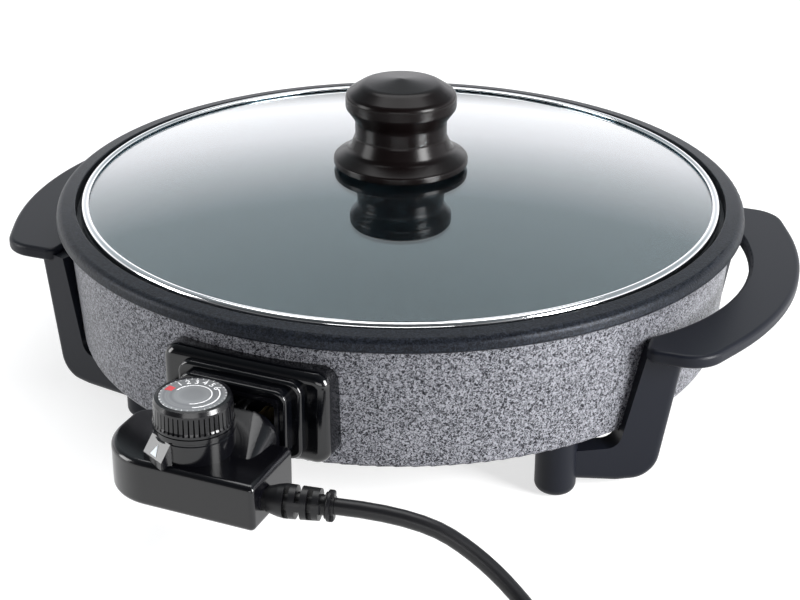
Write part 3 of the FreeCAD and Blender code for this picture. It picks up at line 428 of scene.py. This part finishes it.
holder = bpy.data.objects.new("tick_maker", bpy.data.meshes.new("tick_maker"))
bpy.context.scene.collection.objects.link(holder)
maker = holder.modifiers.new("ticks", "NODES")
maker.node_group = tree
values = {"Count": 36, "Radius": 0.01560, "Ink": ink}
for item in tree.interface.items_tree:
    if item.in_out == "INPUT":
        maker[item.identifier] = values[item.name]
bpy.context.view_layer.update()
mesh = bpy.data.meshes.new_from_object(holder.evaluated_get(bpy.context.evaluated_depsgraph_get()))
bpy.data.objects.remove(holder)


def place_piece(name, mesh, finish=None):
    piece = bpy.data.objects.new(name, mesh)
    bpy.context.scene.collection.objects.link(piece)
    if finish:
        mesh.materials.clear()
        mesh.materials.append(finish)
    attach(piece, "dial")
    return piece


place_piece("dial_ticks", mesh)
print("ticks have", len(mesh.polygons), "faces")


# %% Arc, red block and numbers
def arc_mesh(name, inner, outer, start, end, steps):
    points = []
    faces = []
    for layer in (print_low, print_high):
        for step in range(steps + 1):
            angle = math.radians(start + (end - start) * step / steps)
            for radius in (inner, outer):
                points.append((dial_middle.x + radius * math.cos(angle),
                               dial_middle.y + radius * math.sin(angle), layer))
    top = 2 * (steps + 1)
    for step in range(steps):
        a = 2 * step
        faces.append((top + a, top + a + 1, top + a + 3, top + a + 2))
        faces.append((a, a + 2, a + 3, a + 1))
        faces.append((a, top + a, top + a + 2, a + 2))
        faces.append((a + 1, a + 3, top + a + 3, top + a + 1))
    faces.append((0, 1, top + 1, top))
    a = 2 * steps
    faces.append((a, top + a, top + a + 1, a + 1))
    made = bpy.data.meshes.new(name)
    made.from_pydata(points, [], faces)
    return made


place_piece("dial_arc", arc_mesh("dial_arc", 0.0088, 0.0093, -70, 175, 48), ink)
place_piece("dial_arc_end", arc_mesh("dial_arc_end", 0.0124, 0.0130, -62, 48, 32), ink)
place_piece("off_mark", arc_mesh("off_mark", 0.0108, 0.0146, 166, 184, 6), red)


def number(text, angle, radius=0.0124, size=0.0050):
    words = bpy.data.curves.new("number_" + text, "FONT")
    words.body = text
    words.size = size
    words.align_x = "CENTER"
    words.align_y = "CENTER"
    words.extrude = 0.00003
    maker = bpy.data.objects.new("maker", words)
    bpy.context.scene.collection.objects.link(maker)
    bpy.context.view_layer.update()
    made = bpy.data.meshes.new_from_object(maker.evaluated_get(bpy.context.evaluated_depsgraph_get()))
    bpy.data.objects.remove(maker)
    spot = dial_middle + Vector((radius * math.cos(math.radians(angle)),
                                 radius * math.sin(math.radians(angle)), print_low + 0.000035))
    made.transform(Matrix.Translation(spot) @ Matrix.Rotation(math.radians(angle - 90), 4, "Z"))
    return place_piece("dial_number_" + text, made, ink)


for text, angle in (("1", 148), ("2", 129), ("3", 110), ("4", 91), ("5", 72), ("6", 53)):
    number(text, angle)
print("dial marks made")

# %% [markdown]
# ## Floor and light
#
# The floor carries a soft shadow and looks nearly white to the camera. The world looks white to
# the camera too. What lights the object is brighter near the horizon than overhead, which gives
# the glass lid its shine from white to grey, and dimmer in front, which darkens the front of the
# rim and the legs. Panels at both sides light the wall, the right one more, and a low card lights
# the control.

# %% Floor
floor_mesh = bpy.data.meshes.new("floor")
reach = 6.0              # half the floor's width
level = -0.0004          # just under the feet
floor_mesh.from_pydata([(-reach, -reach, level), (reach, -reach, level), (reach, reach, level),
                        (-reach, reach, level)], [], [(0, 1, 2, 3)])
floor = bpy.data.objects.new("floor", floor_mesh)
bpy.context.scene.collection.objects.link(floor)
pale, shader = material("pale_floor", (0.45, 0.45, 0.45), 0.9)
shader.inputs["Emission Color"].default_value = (1, 1, 1, 1)
tree = pale.node_tree
rays = add(tree, "ShaderNodeLightPath")
total = rays.outputs["Is Camera Ray"]
for other in ("Is Glossy Ray", "Is Transmission Ray"):
    joined = add(tree, "ShaderNodeMath", operation="MAXIMUM")
    tree.links.new(total, joined.inputs[0])
    tree.links.new(rays.outputs[other], joined.inputs[1])
    total = joined.outputs["Value"]
glow = add(tree, "ShaderNodeMath", operation="MULTIPLY")
tree.links.new(total, glow.inputs[0])
glow.inputs[1].default_value = 0.68      # what the floor adds to the light it reflects
tree.links.new(glow.outputs["Value"], shader.inputs["Emission Strength"])
floor_mesh.materials.append(pale)
print("floor ready")

# %% World
world = bpy.data.worlds.new("studio")
bpy.context.scene.world = world
world.use_nodes = True
tree = world.node_tree
background = tree.nodes["Background"]
place = add(tree, "ShaderNodeTexCoord").outputs["Generated"]
parts = add(tree, "ShaderNodeSeparateXYZ")
tree.links.new(place, parts.inputs["Vector"])
sky = ramp(tree, parts.outputs["Z"], [(0.0, (0.3, 0.3, 0.31)), (0.10, (1.75, 1.75, 1.80)),
                                      (0.24, (1.5, 1.5, 1.56)), (0.46, (0.48, 0.54, 0.57)),
                                      (0.66, (0.36, 0.41, 0.43)), (1.0, (0.30, 0.31, 0.33))])
front = add(tree, "ShaderNodeMapRange")
tree.links.new(parts.outputs["Y"], front.inputs["Value"])
for field, value in (("From Min", -0.7), ("From Max", 0.35), ("To Min", 0.12), ("To Max", 1.0)):
    front.inputs[field].default_value = value
dimmed = add(tree, "ShaderNodeVectorMath", operation="SCALE")
tree.links.new(sky, dimmed.inputs[0])
tree.links.new(front.outputs["Result"], dimmed.inputs["Scale"])
rays = add(tree, "ShaderNodeLightPath")
direct = add(tree, "ShaderNodeMath", operation="MAXIMUM")
tree.links.new(rays.outputs["Is Camera Ray"], direct.inputs[0])
tree.links.new(rays.outputs["Is Transmission Ray"], direct.inputs[1])
seen = add(tree, "ShaderNodeMix", data_type="RGBA")
seen.inputs[7].default_value = (1, 1, 1, 1)
tree.links.new(direct.outputs["Value"], seen.inputs["Factor"])
tree.links.new(dimmed.outputs["Vector"], seen.inputs[6])
tree.links.new(seen.outputs[2], background.inputs["Color"])
background.inputs["Strength"].default_value = 1.0
print("world ready")


# %% Lights
def panel(name, place, aim_at, width, height, energy):
    light = bpy.data.lights.new(name, "AREA")
    light.shape = "RECTANGLE"
    light.size = width
    light.size_y = height
    light.energy = energy
    holder = bpy.data.objects.new(name, light)
    bpy.context.scene.collection.objects.link(holder)
    holder.location = place
    holder.rotation_euler = (Vector(aim_at) - Vector(place)).to_track_quat("-Z", "Y").to_euler()


panel("right_panel", (1.35, -0.30, 0.5), (0.15, -0.1, 0.06), 0.5, 0.7, 40)
panel("left_panel", (-1.3, -0.75, 0.5), (0, 0, 0.06), 0.6, 0.8, 12)
panel("top_panel", (-0.2, 0.5, 1.9), (0, 0, 0.1), 1.6, 1.2, 22)
panel("front_card", (0.75, -2.1, 0.42), (0, -0.2, 0.05), 1.6, 0.5, 10)
bpy.context.scene.view_settings.view_transform = "Standard"
print("lights ready")
